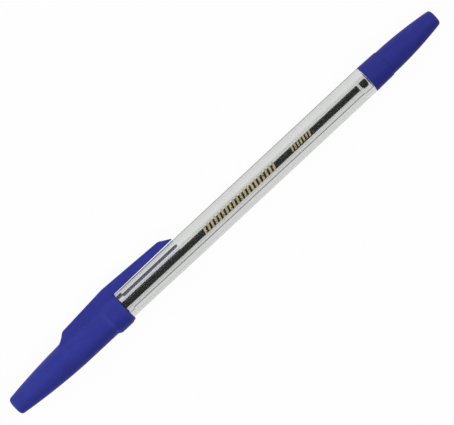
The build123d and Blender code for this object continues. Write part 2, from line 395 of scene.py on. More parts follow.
# %% Turn the point and the ball
point_low, point_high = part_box("writing_point")
ball_low, ball_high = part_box("ball")
ball_centre = (ball_low + ball_high) / 2
ball_radius = (ball_high.x - ball_low.x) / 2
cone_back = point_low.x + 2.9 * mm
body_back = cone_back + 6.4 * mm
shank_radius = 0.72 * mm
channel_radius = 0.3 * mm
rim_wall = 0.06 * mm
ball_gap = 0.015 * mm
seat_radius = ball_radius + ball_gap
rim_radius = (seat_radius ** 2 - (ball_centre.x - point_low.x) ** 2) ** 0.5
seat_steps = 12
around_point = 96
body_edge = 0.1 * mm
crimp_depth = 0.05 * mm
crimp_place = cone_back + 0.5 * mm
crimp_width = 0.35 * mm

seat_depth = (seat_radius ** 2 - channel_radius ** 2) ** 0.5
seat_start = atan2(channel_radius, seat_depth)
seat_end = atan2(rim_radius, point_low.x - ball_centre.x)
ball_seat = []
for step in range(seat_steps + 1):
    angle = seat_start + (seat_end - seat_start) * step / seat_steps
    ball_seat.append((ball_centre.x + seat_radius * cos(angle), seat_radius * sin(angle), 0))

point = turn("brass_point", rounded([
    (point_low.x, rim_radius, 0),
    (point_low.x, rim_radius + rim_wall, 0),
    (cone_back, point_high.z, body_edge),
    (crimp_place, point_high.z, 0),
    (crimp_place + crimp_width / 2, point_high.z - crimp_depth, 0),
    (crimp_place + crimp_width, point_high.z, 0),
    (body_back, point_high.z, body_edge),
    (body_back, shank_radius, 0),
    (point_high.x, shank_radius, body_edge),
    (point_high.x, channel_radius, 0),
    *ball_seat,
]), around_point)

ball_steps = 24
around_ball = 64
ball_outline = []
for step in range(ball_steps + 1):
    angle = pi * step / ball_steps
    ball_outline.append(Vector((ball_centre.x - ball_radius * cos(angle), ball_radius * sin(angle))))
ball = turn("writing_ball", ball_outline, around_ball)

# %% [markdown]
# ## The cap's body and its hollow
#
# The cap is the showpiece: a tapered closed body, a thickened band at the mouth, and a fin that runs out
# into a clip, all one moulding. Here the outside and the hollow are each turned as a closed shape. The
# clip is joined to the first and the second is cut away, just as the steel core leaves the hollow in the
# mould.

# %% Settle the cap's sizes
cap_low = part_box("cap")[0]
cap_length = 38.95 * mm
cap_end = cap_low.x
mouth = cap_end + cap_length
cap_radius = 4.29 * mm
band_radius = -cap_low.z
cap_bore_radius = band_radius - 0.89 * mm
lip_radius = cap_bore_radius + 0.48 * mm
cap_taper_end = cap_end + 16.5 * mm
cap_blend_length = 6.5 * mm
cap_blend_drop = 0.18 * mm
cap_end_drop = 1.69 * mm
cap_taper_bow = 0.175 * mm
cap_end_round = 0.9 * mm
band_end = mouth - 1.25 * mm
band_start = band_end - 3.7 * mm
ramp_start = band_start - 1.1 * mm
band_round = 0.25 * mm
lip_round = 0.15 * mm
print("cap runs from", round(cap_end / mm, 2), "to its mouth at", round(mouth / mm, 2))

# %% Turn the cap's outside
blend_steps = 8
around_cap = 288
cap_ring_spacing = 0.8 * mm


def cap_blend(radius):
    """The soft run from the taper into the straight body, as corners with no round."""
    corners = []
    for step in range(1, blend_steps + 1):
        share = step / blend_steps
        place = cap_taper_end + cap_blend_length * share
        corners.append((place, radius - cap_blend_drop * (1 - share) ** 2, 0))
    return corners


cap_outside = rounded([
    (cap_end + gate_depth, 0, 0),
    (cap_end + gate_depth, gate_radius, 0),
    (cap_end, gate_radius + gate_depth, 0),
    (cap_end, cap_radius - cap_end_drop, cap_end_round),
    (cap_taper_end, cap_radius - cap_blend_drop, 0),
    *cap_blend(cap_radius),
    (ramp_start, cap_radius, 0),
    (band_start, band_radius, band_round),
    (band_end, band_radius, band_round),
    (mouth, lip_radius, lip_round),
    (mouth, 0, 0),
], cap_ring_spacing)
cap = turn("cap_moulding", bowed(cap_outside, cap_end, cap_taper_end, cap_taper_bow), around_cap)

# %% Turn the cap's hollow
cap_inner_radius = 3.57 * mm
cap_floor = cap_end + 1.2 * mm
hollow_step = nose_collar_front - 0.12 * mm
mouth_chamfer = 0.2 * mm

hollow_outline = rounded([
    (cap_floor, 0, 0),
    (cap_floor, cap_inner_radius - cap_end_drop, 0),
    (cap_taper_end, cap_inner_radius - cap_blend_drop, 0),
    *cap_blend(cap_inner_radius),
    (hollow_step, cap_inner_radius, 0),
    (hollow_step, cap_bore_radius, 0),
    (mouth - mouth_chamfer, cap_bore_radius, 0),
    (mouth, cap_bore_radius + mouth_chamfer, 0),
    (mouth, 0, 0),
])
hollow = turn("cap_core", bowed(hollow_outline, cap_floor, cap_taper_end, cap_taper_bow))

# %% [markdown]
# ## A soft foot for the fin
#
# Where the fin stands on the round body the mould has a small radius, which keeps that corner from
# cracking. A bevel on the joined mesh would tear its narrow faces, so the radius comes first: the rings
# of the turned body are pushed out beside the fin, along the arc that touches both the body and the fin's
# side.

# %% Raise the fillet on the body
clip_tip = 2 * clip_face_middle.x - mouth
apex = mouth - 1.45 * mm
fin_start = apex - 14.95 * mm
ramp_foot = fin_start - 3.5 * mm
root_half_width = 2.3 * mm
fin_fillet = 0.7 * mm
fillet_seat = root_half_width - 0.02 * mm
step_place = mouth - 0.5 * mm


def eased(share):
    """Runs from 0 to 1 with a soft start and end."""
    share = min(1, max(0, share))
    return share * share * (3 - 2 * share)


def fillet_reach(radius, angle, fillet):
    """How far out the body lies at an angle from the fin's middle, with the fillet's arc added."""
    arc_side = fillet_seat + fillet
    arc_middle = Vector((arc_side, ((radius + fillet) ** 2 - arc_side ** 2) ** 0.5))
    body_angle = atan2(arc_middle.x, arc_middle.y)
    side_angle = atan2(fillet_seat, arc_middle.y)
    if angle >= body_angle:
        return radius
    ray = Vector((sin(max(angle, side_angle)), cos(max(angle, side_angle))))
    ahead = arc_middle.dot(ray)
    return ahead - max(0, ahead ** 2 - arc_middle.length_squared + fillet ** 2) ** 0.5


pushed = 0
for vertex in cap.data.vertices:
    rise = eased((vertex.co.x - ramp_foot) / (fin_start - ramp_foot))
    fade = eased((step_place - vertex.co.x) / (step_place - band_end))
    height, side = vertex.co.dot(out_of_clip), abs(vertex.co.dot(toward_camera))
    if rise * fade == 0 or height < 0:
        continue
    radius = hypot(height, side)
    reach = fillet_reach(radius, atan2(side, height), fin_fillet * rise * fade)
    pushed += reach > radius
    for axis in (1, 2):
        vertex.co[axis] *= reach / radius
print("pushed out", pushed, "vertices of the body beside the fin")

# %% [markdown]
# ## The fin and the clip
#
# Seen from the side, the fin climbs a short hollow ramp, rises gently to its highest point near the
# mouth, and falls again along the clip to a wedge at the tip. A flat section is pulled out along X, one
# step after another, and each new end is resized. Its edges are rounded with bevels, and the wedge is one
# straight cut, as in the mould. The blank is modelled upright and then leaned over to its place beside
# the barrel.

# %% Draw the fin's top line and the underside
clip_spread = 0.2 * mm
clip_inner_height = clip_face_middle.yz.length - clip_spread / 2
clip_tip_height = clip_inner_height + clip_spread
apex_height = clip_inner_height + 3.1 * mm
bevel_start = clip_tip - 3.3 * mm
bevel_height = clip_tip_height + 2.05 * mm
point_height = clip_tip_height + 0.25 * mm
foot_height = cap_radius - 0.36 * mm
fin_height = cap_radius + 1.8 * mm
fin_ramp_bow = 0.22 * mm
fin_bottom = cap_inner_radius - 0.7 * mm
tip_half_width = 1.9 * mm
buried_foot = (ramp_foot - 1.2 * mm, cap_radius - 1.0 * mm, 0)
fin_corner_round = 1.2 * mm
apex_round = 12 * mm
ramp_steps = 8
section_spacing = 3 * mm

bar_fall = (bevel_height - apex_height) * (clip_tip - bevel_start) / (bevel_start - apex)
bar_tip_height = bevel_height + bar_fall
top_corners = [buried_foot]
for step in range(ramp_steps):
    share = step / ramp_steps
    height = foot_height + (fin_height - foot_height) * share - 4 * fin_ramp_bow * share * (1 - share)
    top_corners.append((ramp_foot + (fin_start - ramp_foot) * share, height, 0))
top_corners += [
    (fin_start, fin_height, fin_corner_round),
    (apex, apex_height, apex_round),
    (clip_tip, bar_tip_height, 0),
]
top_line = rounded(top_corners, section_spacing)


def top_height(place):
    """Height of the top line at a place on X."""
    for here, there in zip(top_line, top_line[1:]):
        if here.x <= place <= there.x:
            return here.lerp(there, (place - here.x) / (there.x - here.x)).y


def underside(place):
    """Height of the underside: deep in the cap along the fin, just off the barrel past the mouth."""
    if place <= step_place:
        return fin_bottom
    rise = (clip_tip_height - clip_inner_height) * max(0, place - mouth) / (clip_tip - mouth)
    return clip_inner_height + rise


def half_width(place):
    """Half the width: even along the fin, then narrowing to the clip's tip."""
    share = max(0, (place - apex) / (clip_tip - apex))
    return root_half_width + (tip_half_width - root_half_width) * share


stations = sorted([point.x for point in top_line] + [step_place, (step_place + mouth) / 2, mouth])
sections = [(place, underside(place), top_height(place)) for place in stations]
print("fin and clip have", len(sections), "sections")

# %% Pull the section out along the fin and the clip
bpy.ops.object.select_all(action="DESELECT")
start, low, high = sections[0]
bpy.ops.mesh.primitive_plane_add(size=1, location=(start, 0, (low + high) / 2), rotation=(0, pi / 2, 0))
clip = bpy.context.object
clip.name = clip.data.name = "clip_blank"
bpy.ops.object.transform_apply(location=True, rotation=True, scale=True)
bpy.ops.object.mode_set(mode="EDIT")
bpy.ops.mesh.select_all(action="SELECT")
first_size = (1, 2 * half_width(start), high - low)
bpy.ops.transform.resize(value=first_size, center_override=(start, 0, (low + high) / 2))
for (x, low, high), (next_x, next_low, next_high) in zip(sections, sections[1:]):
    step = (next_x - x, 0, (next_low + next_high - low - high) / 2)
    size = (1, half_width(next_x) / half_width(x), (next_high - next_low) / (high - low))
    bpy.ops.mesh.extrude_region_move(TRANSFORM_OT_translate={"value": step})
    bpy.ops.transform.resize(value=size, center_override=(next_x, 0, (next_low + next_high) / 2))
bpy.ops.mesh.select_all(action="SELECT")
bpy.ops.mesh.normals_make_consistent(inside=False)
bpy.ops.object.mode_set(mode="OBJECT")
print("clip blank runs from", round(start / mm, 2), "to", round(clip.dimensions.x / mm + start / mm, 2))

# %% Round the clip's edges
tip_round = 1.2 * mm
outer_round = 0.4 * mm
inner_round = 0.15 * mm
tip_steps, outer_steps, inner_steps = 8, 5, 3
steep = 0.7
facing = 0.4
level = 0.1


def bevel_edges(piece, wanted, width, segments):
    """Bevels the edges for which the test says yes to the two faces beside the edge, in edit mode."""
    bpy.ops.mesh.select_mode(type="EDGE")
    bpy.ops.mesh.select_all(action="DESELECT")
    shape = bmesh.from_edit_mesh(piece.data)
    count = 0
    for edge in shape.edges:
        if len(edge.link_faces) == 2 and wanted(*edge.link_faces):
            edge.select_set(True)
            count += 1
    bmesh.update_edit_mesh(piece.data)
    bpy.ops.mesh.bevel(offset=width, segments=segments, profile=0.5, affect="EDGES", clamp_overlap=False)
    print(piece.name, "has", count, "edges rounded by", round(width / mm, 2))


def is_side(face):
    """Says whether a face looks sideways or out of the tip."""
    return abs(face.normal.y) > steep or face.normal.x > steep


def tip_corner(one, other):
    """The two upright edges at the tip."""
    one_at_tip = (one.normal.x > steep) != (other.normal.x > steep)
    return one_at_tip and abs(one.normal.z + other.normal.z) < level


def between_side_and(direction):
    """Makes a test for edges between a side and the top (1) or the underside (-1)."""
    def wanted(one, other):
        flat, side = (other, one) if is_side(one) else (one, other)
        return is_side(side) and not is_side(flat) and flat.normal.z * direction > facing
    return wanted


bpy.ops.object.mode_set(mode="EDIT")
bevel_edges(clip, tip_corner, tip_round, tip_steps)
bevel_edges(clip, between_side_and(1), outer_round, outer_steps)
bevel_edges(clip, between_side_and(-1), inner_round, inner_steps)

# %% Cut the wedge at the clip's tip
wedge_round = 0.1 * mm
wedge_steps = 3
same_plane = 0.9999
wedge_fall = Vector((clip_tip - bevel_start, 0, point_height - bevel_height))
wedge_normal = Vector((-wedge_fall.z, 0, wedge_fall.x)).normalized()


def wedge_rim(one, other):
    """The edges around the cut."""
    return max(one.normal.dot(wedge_normal), other.normal.dot(wedge_normal)) > same_plane


bpy.ops.mesh.select_all(action="SELECT")
bpy.ops.mesh.bisect(
    plane_co=(bevel_start, 0, bevel_height), plane_no=wedge_normal, use_fill=True, clear_outer=True
)
bevel_edges(clip, wedge_rim, wedge_round, wedge_steps)
bpy.ops.object.mode_set(mode="OBJECT")
clip.rotation_euler.x = -(pi / 2 + clip_lean)
bpy.ops.object.transform_apply(location=True, rotation=True, scale=True)
print("clip blank has", len(clip.data.polygons), "faces")

# %% [markdown]
# ## One moulding
#
# Boolean modifiers join the clip to the body and then cut the hollow. Flat faces that meet rounds would
# shade with streaks, so a Weighted Normal modifier lets the large faces decide the shading.

# %% Join the clip and cut the hollow


def combine(piece, tool, operation):
    """Joins or cuts a piece with a second shape, which is then gone."""
    bpy.ops.object.select_all(action="DESELECT")
    bpy.context.view_layer.objects.active = piece
    piece.select_set(True)
    boolean = piece.modifiers.new("combine", "BOOLEAN")
    boolean.object = tool
    boolean.operation = operation
    boolean.solver = "MANIFOLD"
    bpy.ops.object.modifier_apply(modifier=boolean.name)
    bpy.data.objects.remove(tool)


combine(cap, clip, "UNION")
combine(cap, hollow, "DIFFERENCE")
bpy.ops.object.mode_set(mode="EDIT")
bpy.ops.mesh.select_all(action="SELECT")
bpy.ops.mesh.remove_doubles(threshold=merge_distance)
bpy.ops.mesh.normals_make_consistent(inside=False)
bpy.ops.object.mode_set(mode="OBJECT")
bpy.ops.object.shade_smooth_by_angle(angle=smooth_angle)
even = cap.modifiers.new("even", "WEIGHTED_NORMAL")
even.keep_sharp = True
bpy.ops.object.modifier_apply(modifier=even.name)
print("cap has", len(cap.data.polygons), "faces")

# %% [markdown]
# ## The foil marks
#
# The barrel carries hot-stamped gold foil: a long row of slanted strokes and a short one. One stroke is
# modelled flat above the barrel and repeated by an Array modifier. A Shrinkwrap modifier lays the row on
# the barrel, Solidify gives the foil its thickness, and the row is then turned to the side that the
# camera sees.

# %% Stamp two rows of foil strokes
foil_lift = 0.008 * mm
foil_thickness = 0.015 * mm
foil_slant_share = 0.3
foil_turn = radians(2.0)
stroke_cuts = 7


def foil_row(name, start, end, stroke_width, stroke_height, pitch):
    """Lays a row of slanted strokes on the barrel between two places on X."""
    bpy.ops.object.select_all(action="DESELECT")
    slant = stroke_height * foil_slant_share / 2
    first = start + slant + stroke_width / 2
    centre = (first, 0, 2 * barrel_radius)
    bpy.ops.mesh.primitive_plane_add(size=1, location=centre)
    row = bpy.context.object
    row.name = row.data.name = name
    bpy.ops.object.mode_set(mode="EDIT")
    bpy.ops.mesh.select_mode(type="VERT")
    bpy.ops.transform.resize(value=(stroke_width, stroke_height, 1), center_override=centre)
    for end_of_stroke in (1, -1):
        bpy.ops.mesh.select_all(action="DESELECT")
        shape = bmesh.from_edit_mesh(row.data)
        for vertex in shape.verts:
            vertex.select_set(vertex.co.y * end_of_stroke > 0)
        shape.select_flush_mode()
        bmesh.update_edit_mesh(row.data)
        bpy.ops.transform.translate(value=(end_of_stroke * slant, 0, 0))
    bpy.ops.mesh.select_all(action="SELECT")
    bpy.ops.mesh.subdivide(number_cuts=stroke_cuts)
    bpy.ops.object.mode_set(mode="OBJECT")
    bpy.ops.object.transform_apply(location=True, rotation=True, scale=True)

    repeat = row.modifiers.new("repeat", "ARRAY")
    repeat.count = int((end - start - 2 * slant - stroke_width) / pitch) + 1
    repeat.use_relative_offset = False
    repeat.use_constant_offset = True
    repeat.constant_offset_displace = (pitch, 0, 0)
    lay = row.modifiers.new("lay", "SHRINKWRAP")
    lay.target = clear_barrel
    lay.wrap_method = "PROJECT"
    lay.use_project_z = True
    lay.use_negative_direction = True
    lay.use_positive_direction = False
    lay.offset = foil_lift
    thicken = row.modifiers.new("thicken", "SOLIDIFY")
    thicken.thickness = foil_thickness
    thicken.offset = 1
    strokes = repeat.count
    for modifier in (repeat, lay, thicken):
        bpy.ops.object.modifier_apply(modifier=modifier.name)
    row.rotation_euler.x = -(clip_lean + foil_turn)
    bpy.ops.object.transform_apply(location=True, rotation=True, scale=True)
    bpy.ops.object.shade_smooth_by_angle(angle=smooth_angle)
    print(name, "has", strokes, "strokes")
    return row


long_foil = foil_row(
    "long_foil_row", start=-14.4 * mm, end=11.3 * mm,
    stroke_width=0.66 * mm, stroke_height=2.1 * mm, pitch=1.28 * mm,
)
short_foil = foil_row(
    "short_foil_row", start=16.75 * mm, end=23.8 * mm,
    stroke_width=0.5 * mm, stroke_height=1.5 * mm, pitch=1.0 * mm,
)

# %% [markdown]
# ## Riding and replacing
#
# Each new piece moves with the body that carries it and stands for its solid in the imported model.

# %% Tie the pieces to the frame
stand_ins = [
    (clear_barrel, "pen", "barrel", "clear_plastic"),
    (refill, "pen", "refill_tube", "tube_plastic"),
    (ink, "pen", "ink_column", "ink"),
    (drop, "pen", "ink_tail", "ink"),
    (plug, "pen", "tail_plug", "blue_plastic"),
    (nose, "pen", "nose_cone", "blue_plastic"),
    (point, "pen", "writing_point", "point_metal"),
    (ball, "ball", "ball", "ball_metal"),
    (cap, "cap", "cap", "blue_plastic"),
]
for piece, body, node, slot in stand_ins:
    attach(piece, body)
    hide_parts(node)
foil_rows = (long_foil, short_foil)
for row in foil_rows:
    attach(row, "pen")
print("pieces", len(stand_ins) + len(foil_rows))

# %% [markdown]
# ## Building materials from nodes
#
# Every finish is a small network of nodes. Patterns read Object coordinates, which are metres here, so a
# scale of 1000 makes features about a millimetre across. Short helpers add a node and set it up in one
# go, and link a list of sockets.

# %% Helpers for node networks


def add(tree, kind, inputs=None, **settings):
    """Adds a node, fills its inputs by name and sets its properties."""
    node = tree.nodes.new(kind)
    for name, value in settings.items():
        setattr(node, name, value)
    for name, value in (inputs or {}).items():
        node.inputs[name].default_value = value
    return node


def wire(tree, *pairs):
    """Links each output to its input."""
    for output, target in pairs:
        tree.links.new(output, target)


def new_group(name, inputs, outputs):
    """Starts a shader node group with named inputs (name, kind, value) and outputs (name, kind)."""
    tree = bpy.data.node_groups.new(name, "ShaderNodeTree")
    for socket_name, kind, value in inputs:
        socket = tree.interface.new_socket(socket_name, in_out="INPUT", socket_type=kind)
        socket.default_value = value
    for socket_name, kind in outputs:
        tree.interface.new_socket(socket_name, in_out="OUTPUT", socket_type=kind)
    return tree, add(tree, "NodeGroupInput"), add(tree, "NodeGroupOutput")


print("node helpers ready")

# %% [markdown]
# ## Shared effects: moulded skin and handling marks
#
# Moulded plastic is never one flat colour: the pigment flows in slow streaks, and the steel leaves a very
# fine grain. A pen is also carried about, so fine scratches run mostly along it. Both effects are groups
# with named inputs, so that each material can place them with its own strength.

# %% Make the moulded skin group
skin, skin_in, skin_out = new_group(
    "moulded_skin",
    [
        ("Tone", "NodeSocketColor", (0.5, 0.5, 0.5, 1)),
        ("Drift", "NodeSocketFloat", 0.2),
        ("Roughness", "NodeSocketFloat", 0.4),
        ("Unevenness", "NodeSocketFloat", 0.1),
    ],
    [("Colour", "NodeSocketColor"), ("Roughness", "NodeSocketFloat"), ("Height", "NodeSocketFloat")],
)
skin_place = add(skin, "ShaderNodeTexCoord")
skin_stretch = add(skin, "ShaderNodeMapping", {"Scale": (0.35, 1, 1)})
flow = add(skin, "ShaderNodeTexNoise", {"Scale": 420, "Detail": 3, "Roughness": 0.55, "Distortion": 0.6})
grain = add(skin, "ShaderNodeTexNoise", {"Scale": 5200, "Detail": 2, "Roughness": 0.6})
flow_range = add(skin, "ShaderNodeMapRange", {"From Min": 0.3, "From Max": 0.7, "To Min": -1, "To Max": 1})
flow_share = add(skin, "ShaderNodeMath", operation="MULTIPLY")
brightness = add(skin, "ShaderNodeMath", {1: 1.0}, operation="ADD")
toned = add(skin, "ShaderNodeVectorMath", operation="SCALE")
grain_share = add(skin, "ShaderNodeMath", operation="MULTIPLY")
grain_centre = add(skin, "ShaderNodeMath", {1: 0.5}, operation="SUBTRACT")
rough_sum = add(skin, "ShaderNodeMath", operation="ADD", use_clamp=True)
wire(
    skin,
    (skin_place.outputs["Object"], skin_stretch.inputs["Vector"]),
    (skin_stretch.outputs["Vector"], flow.inputs["Vector"]),
    (skin_place.outputs["Object"], grain.inputs["Vector"]),
    (flow.outputs["Fac"], flow_range.inputs["Value"]),
    (flow_range.outputs["Result"], flow_share.inputs[0]),
    (skin_in.outputs["Drift"], flow_share.inputs[1]),
    (flow_share.outputs["Value"], brightness.inputs[0]),
    (skin_in.outputs["Tone"], toned.inputs[0]),
    (brightness.outputs["Value"], toned.inputs["Scale"]),
    (toned.outputs["Vector"], skin_out.inputs["Colour"]),
    (grain.outputs["Fac"], grain_centre.inputs[0]),
    (grain_centre.outputs["Value"], grain_share.inputs[0]),
    (skin_in.outputs["Unevenness"], grain_share.inputs[1]),
    (grain_share.outputs["Value"], rough_sum.inputs[0]),
    (skin_in.outputs["Roughness"], rough_sum.inputs[1]),
    (rough_sum.outputs["Value"], skin_out.inputs["Roughness"]),
    (grain.outputs["Fac"], skin_out.inputs["Height"]),
)
print("moulded_skin has", len(skin.nodes), "nodes")

# %% Make the handling marks group
marks, marks_in, marks_out = new_group(
    "handling_marks",
    [("Density", "NodeSocketFloat", 0.3)],
    [("Mask", "NodeSocketFloat")],
)
marks_place = add(marks, "ShaderNodeTexCoord")
marks_stretch = add(marks, "ShaderNodeMapping", {"Scale": (0.05, 1, 1)})
streaks = add(marks, "ShaderNodeTexNoise", {"Scale": 6500, "Detail": 1, "Roughness": 0.4})
patches = add(marks, "ShaderNodeTexNoise", {"Scale": 260, "Detail": 2})
thin = add(marks, "ShaderNodeMapRange", {"From Min": 0.62, "From Max": 0.72})
worn = add(marks, "ShaderNodeMapRange", {"From Min": 0.45, "From Max": 0.65})
both = add(marks, "ShaderNodeMath", operation="MULTIPLY")
dense = add(marks, "ShaderNodeMath", operation="MULTIPLY", use_clamp=True)
wire(
    marks,
    (marks_place.outputs["Object"], marks_stretch.inputs["Vector"]),
    (marks_stretch.outputs["Vector"], streaks.inputs["Vector"]),
    (marks_place.outputs["Object"], patches.inputs["Vector"]),
    (streaks.outputs["Fac"], thin.inputs["Value"]),
    (patches.outputs["Fac"], worn.inputs["Value"]),
    (thin.outputs["Result"], both.inputs[0]),
    (worn.outputs["Result"], both.inputs[1]),
    (both.outputs["Value"], dense.inputs[0]),
    (marks_in.outputs["Density"], dense.inputs[1]),
    (dense.outputs["Value"], marks_out.inputs["Mask"]),
)
print("handling_marks has", len(marks.nodes), "nodes")

# %% [markdown]
# ## The finishes
#
# One function lays the skin and the marks into a Principled shader: the marks make the surface a little
# duller and a little lower. What differs between plastics, ink and metal is set on the shader's own
# sockets.

# %% Lay the shared effects into a material
mark_dulling = 0.25
mark_height = -0.6
bump_strength = 0.25


def finish(name, tone, roughness, drift, unevenness, density, relief, **sockets):
    """Makes a material with skin and marks, and plain values on the shader's own sockets."""
    material = bpy.data.materials.new(name)
    material.use_nodes = True
    tree = material.node_tree
    shader = tree.nodes["Principled BSDF"]
    for socket, value in sockets.items():
        shader.inputs[socket.replace("_", " ")].default_value = value
    skin_values = {"Tone": (*tone, 1), "Drift": drift, "Roughness": roughness, "Unevenness": unevenness}
    skin_node = add(tree, "ShaderNodeGroup", skin_values, node_tree=skin)
    marks_node = add(tree, "ShaderNodeGroup", {"Density": density}, node_tree=marks)
    duller = add(tree, "ShaderNodeMath", {1: mark_dulling}, operation="MULTIPLY_ADD", use_clamp=True)
    lower = add(tree, "ShaderNodeMath", {1: mark_height}, operation="MULTIPLY_ADD")
    bump = add(tree, "ShaderNodeBump", {"Strength": bump_strength, "Distance": relief})
    wire(
        tree,
        (skin_node.outputs["Colour"], shader.inputs["Base Color"]),
        (marks_node.outputs["Mask"], duller.inputs[0]),
        (skin_node.outputs["Roughness"], duller.inputs[2]),
        (duller.outputs["Value"], shader.inputs["Roughness"]),
        (marks_node.outputs["Mask"], lower.inputs[0]),
        (skin_node.outputs["Height"], lower.inputs[2]),
        (lower.outputs["Value"], bump.inputs["Height"]),
        (bump.outputs["Normal"], shader.inputs["Normal"]),
    )
    return material


def put_on(material, *pieces):
    """Makes this the only material of each piece."""
    for piece in pieces:
        piece.data.materials.clear()
        piece.data.materials.append(material)


print("each finish has", len(skin.nodes) + len(marks.nodes), "nodes of shared effects")

# %% Finish the blue pieces
cap_blue = finish(
    "cap_blue_plastic", tone=(0.029, 0.036, 0.280), roughness=0.52, drift=0.08,
    unevenness=0.12, density=0.4, relief=0.004 * mm, Specular_IOR_Level=0.12,
)
plug_blue = finish(
    "plug_blue_plastic", tone=(0.024, 0.029, 0.230), roughness=0.52, drift=0.08,
    unevenness=0.12, density=0.4, relief=0.004 * mm, Specular_IOR_Level=0.10,
)
put_on(cap_blue, cap)
put_on(plug_blue, plug, nose)
print("blue plastic on cap, plug and nose")

# %% [markdown]
# ## The clear and the milky plastics
#
# The barrel is clear polystyrene, which bends light strongly. The refill tube is a softer plastic that
# bends it less, and the holder of the point is milky, with a rougher surface. All three let light
# through. Cycles would shade what lies behind the first two from the lamps, so their shadows are thinned
# with a Light Path node.

# %% Mix the clear plastics
# The barrel's grey tone is painted shade: it stands in for the darker surroundings seen through the clear
# plastic.
clear_plastic = finish(
    "clear_polystyrene", tone=(0.66, 0.67, 0.66), roughness=0.01, drift=0.02,
    unevenness=0.01, density=0.1, relief=0.00002 * mm, Transmission_Weight=1.0, IOR=1.59,
)
tube_plastic = finish(
    "refill_tube_plastic", tone=(0.96, 0.97, 0.96), roughness=0.02, drift=0.02,
    unevenness=0.02, density=0.0, relief=0.00002 * mm, Transmission_Weight=1.0, IOR=1.49,
)
holder_plastic = finish(
    "milky_holder_plastic", tone=(0.75, 0.77, 0.75), roughness=0.35, drift=0.06,
    unevenness=0.1, density=0.2, relief=0.004 * mm, Transmission_Weight=0.4, IOR=1.49,
)
print("clear plastics mixed")

# %% Let light into the clear pieces
lamp_share = 0.9


def let_lamps_through(material, share):
    """Lets a share of the lamps' light pass straight through, to what lies behind the plastic."""
    tree = material.node_tree
    path = add(tree, "ShaderNodeLightPath")
    passed = add(tree, "ShaderNodeBsdfTransparent", {"Color": (share, share, share, 1)})
    mixed = add(tree, "ShaderNodeMixShader")
    wire(
        tree,
        (path.outputs["Is Shadow Ray"], mixed.inputs["Fac"]),
        (tree.nodes["Principled BSDF"].outputs["BSDF"], mixed.inputs[1]),
        (passed.outputs["BSDF"], mixed.inputs[2]),
        (mixed.outputs["Shader"], tree.nodes["Material Output"].inputs["Surface"]),
    )


def painted_shade_on_skin(material, inner_radius, outer_radius):
    """Puts the grey tone, which is painted shade, on the outer skin and leaves the bore's wall clear."""
    tree = material.node_tree
    shader = tree.nodes["Principled BSDF"]
    toned = shader.inputs["Base Color"].links[0].from_socket
    place = add(tree, "ShaderNodeTexCoord")
    across = add(tree, "ShaderNodeMapping", {"Scale": (0, 1, 1)})
    radius = add(tree, "ShaderNodeVectorMath", operation="LENGTH")
    skin_share = add(tree, "ShaderNodeMapRange", {"From Min": inner_radius, "From Max": outer_radius})
    blend = add(tree, "ShaderNodeMix", data_type="RGBA")
    blend.inputs["A"].default_value = (1, 1, 1, 1)
    wire(
        tree,
        (place.outputs["Object"], across.inputs["Vector"]),
        (across.outputs["Vector"], radius.inputs[0]),
        (radius.outputs["Value"], skin_share.inputs["Value"]),
        (skin_share.outputs["Result"], blend.inputs["Factor"]),
        (toned, blend.inputs["B"]),
        (blend.outputs["Result"], shader.inputs["Base Color"]),
    )


# Painted shade: the barrel's grey tone stays on its outer skin, and the bore's wall stays clear.
painted_shade_on_skin(clear_plastic, core_radius, neck_radius)
for material in (clear_plastic, tube_plastic):
    let_lamps_through(material, lamp_share)
put_on(clear_plastic, clear_barrel)
put_on(tube_plastic, refill)
holder = frame["nodes"]["point_holder"]
put_on(holder_plastic, holder)
print("clear plastic on barrel, tube and holder")

# %% [markdown]
# ## Ink, metal and foil
#
# The ink is a thick paste, nearly black in the tube. The point is brass with the fine rings of its
# turning, the ball is polished carbide, and the foil is thin metal that has begun to flake.

# %% Mix the ink and the metals
ink_paste = finish(
    "ballpoint_ink", tone=(0.018, 0.018, 0.016), roughness=0.45, drift=0.25,
    unevenness=0.1, density=0.0, relief=0.002 * mm, Specular_IOR_Level=0.1,
)
brass = finish(
    "turned_brass", tone=(0.70, 0.52, 0.24), roughness=0.26, drift=0.10,
    unevenness=0.15, density=0.5, relief=0.004 * mm, Metallic=1.0,
)
carbide = finish(
    "polished_carbide", tone=(0.55, 0.56, 0.58), roughness=0.12, drift=0.06,
    unevenness=0.05, density=0.2, relief=0.001 * mm, Metallic=1.0,
)
foil_gold = finish(
    "gold_foil", tone=(0.63, 0.54, 0.305), roughness=0.42, drift=0.18,
    unevenness=0.2, density=0.4, relief=0.003 * mm, Metallic=0.6,
)
print("ink and metals mixed")

# %% Add the turning rings and the flakes
flake_edge = 0.05
wave_repeat = pi / 10


def turned_rings(material, pitch, share):
    """Adds the rings of the turning tool to the bump. At a scale of 1, waves lie wave_repeat apart."""
    tree = material.node_tree
    bump = next(node for node in tree.nodes if node.type == "BUMP")
    skin_height = bump.inputs["Height"].links[0].from_socket
    place = add(tree, "ShaderNodeTexCoord")
    rings = add(tree, "ShaderNodeTexWave", {"Scale": wave_repeat / pitch, "Distortion": 0.4, "Detail": 1})
    both = add(tree, "ShaderNodeMath", {1: share}, operation="MULTIPLY_ADD")
    wire(
        tree,
        (place.outputs["Object"], rings.inputs["Vector"]),
        (rings.outputs["Fac"], both.inputs[0]),
        (skin_height, both.inputs[2]),
        (both.outputs["Value"], bump.inputs["Height"]),
    )


def flaked(material, size, bare_share):
    """Opens small holes where the foil has come off: low spots of a fine noise go clear."""
    tree = material.node_tree
    place = add(tree, "ShaderNodeTexCoord")
    spots = add(tree, "ShaderNodeTexNoise", {"Scale": 1 / size, "Detail": 3, "Roughness": 0.65})
    kept = add(tree, "ShaderNodeMapRange", {"From Min": bare_share, "From Max": bare_share + flake_edge})
    wire(
        tree,
        (place.outputs["Object"], spots.inputs["Vector"]),
        (spots.outputs["Fac"], kept.inputs["Value"]),
        (kept.outputs["Result"], tree.nodes["Principled BSDF"].inputs["Alpha"]),
    )


